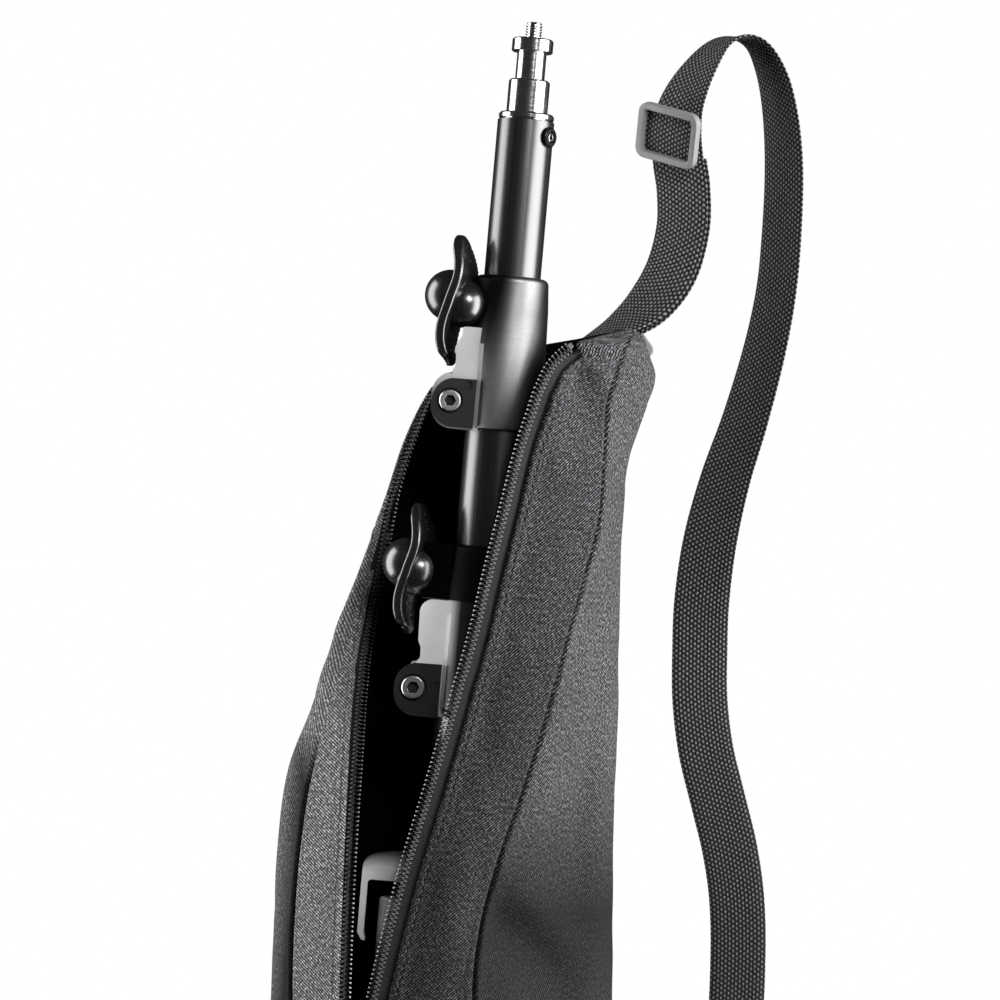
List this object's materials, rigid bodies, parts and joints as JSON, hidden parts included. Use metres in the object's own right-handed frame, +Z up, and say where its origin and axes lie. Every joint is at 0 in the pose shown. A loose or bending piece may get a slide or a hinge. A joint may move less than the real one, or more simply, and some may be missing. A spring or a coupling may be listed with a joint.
{
  "type": "folded light stand in an open zipped carry bag",
  "caption": "Folded telescoping light stand with clamp collars and wing knobs, lying in a half-unzipped fabric carry bag with a webbing shoulder strap.",
  "frame": {"origin": "on the floor, at the flat underside of the bag's back panel, below the stand's axis", "axes": "+Y along the stand towards its spigot, +Z up from the floor, +X to the shoulder strap's side"},
  "size_m": [0.1972, 1.0965, 0.085],
  "materials": {
    "fabric": "twill weave, matt",
    "webbing": "ribbed flat webbing",
    "tape": "flat woven tape",
    "coil": "satin nylon coil",
    "tube_black": "gloss black powder coat",
    "anodised": "black anodised, satin",
    "casting": "dark grey satin enamel on a casting",
    "satin": "satin silver",
    "chrome": "polished",
    "black_plastic": "satin moulded",
    "buckle": "satin grey moulded",
    "grey_plastic": "satin light grey moulded",
    "rubber": "matt"
  },
  "bodies": {
    "bag_and_base": {"bag_back_panel": "fabric", "bag_end_panel": "fabric", "bag_left_front_panel": "fabric", "bag_left_side_panel": "fabric", "bag_right_front_panel": "fabric", "bag_right_side_panel": "fabric", "brace_1": "satin", "brace_2": "satin", "brace_3": "satin", "brace_collar": "casting", "foot_1": "rubber", "foot_2": "rubber", "foot_3": "rubber", "leg_1": "anodised", "leg_2": "anodised", "leg_3": "anodised", "leg_clip": "grey_plastic", "leg_collar": "casting", "leg_plug_1": "satin", "leg_plug_2": "satin", "leg_plug_3": "satin", "lower_bush": "black_plastic", "lower_clamp_bolt": "chrome", "lower_clamp_nut": "chrome", "lower_clamp_plate": "black_plastic", "lower_collar": "casting", "lower_tube": "tube_black", "lower_tube_cap": "black_plastic", "shoulder_strap": "webbing", "strap_adjuster": "buckle", "strap_bottom_patch": "webbing", "strap_doubled_end": "webbing", "strap_top_ring": "buckle", "zip_bottom_stop": "satin", "zip_coil_left": "coil", "zip_coil_right": "coil", "zip_tape_left": "tape", "zip_tape_right": "tape", "zip_top_stop_left": "satin", "zip_top_stop_right": "satin"},
    "mast_middle": {"middle_tube": "tube_black", "middle_tube_plug": "black_plastic", "upper_collar": "casting", "upper_bush": "black_plastic", "upper_clamp_plate": "black_plastic", "upper_clamp_bolt": "chrome", "upper_clamp_nut": "chrome"},
    "mast_top": {"top_tube": "tube_black", "top_tube_plug": "black_plastic", "spigot": "chrome", "spigot_set_screw": "chrome"},
    "upper_knob": {"upper_knob_grip": "black_plastic", "upper_knob_screw": "chrome"},
    "lower_knob": {"lower_knob_grip": "black_plastic", "lower_knob_screw": "chrome"},
    "zip_slider": {"zip_slider": "satin"},
    "zip_pull": {"zip_pull_tab": "satin"}
  },
  "joints": [
    {"name": "middle_tube_slide", "type": "slide", "parent": "bag_and_base", "child": "mast_middle", "axis": [0, 1, 0], "range_m": [0, 0.55]},
    {"name": "top_tube_slide", "type": "slide", "parent": "mast_middle", "child": "mast_top", "axis": [0, 1, 0], "range_m": [0, 0.6]},
    {"name": "upper_knob_turn", "type": "hinge", "parent": "mast_middle", "child": "upper_knob", "pos_m": [-0.0222, 0.3696, 0.045], "axis": [-0.9511, 0, -0.309], "range_deg": [0, 360]},
    {"name": "lower_knob_turn", "type": "hinge", "parent": "bag_and_base", "child": "lower_knob", "pos_m": [-0.0304, 0.265, 0.042], "axis": [-0.9511, 0, -0.309], "range_deg": [0, 360]},
    {"name": "zip_slide", "type": "slide", "parent": "bag_and_base", "child": "zip_slider", "axis": [0, -1, 0], "range_m": [0, 0.62]},
    {"name": "zip_pull_swing", "type": "hinge", "parent": "zip_slider", "child": "zip_pull", "pos_m": [-0.035, 0.0615, 0.0832], "axis": [-1, 0, 0], "range_deg": [0, 170]}
  ]
}
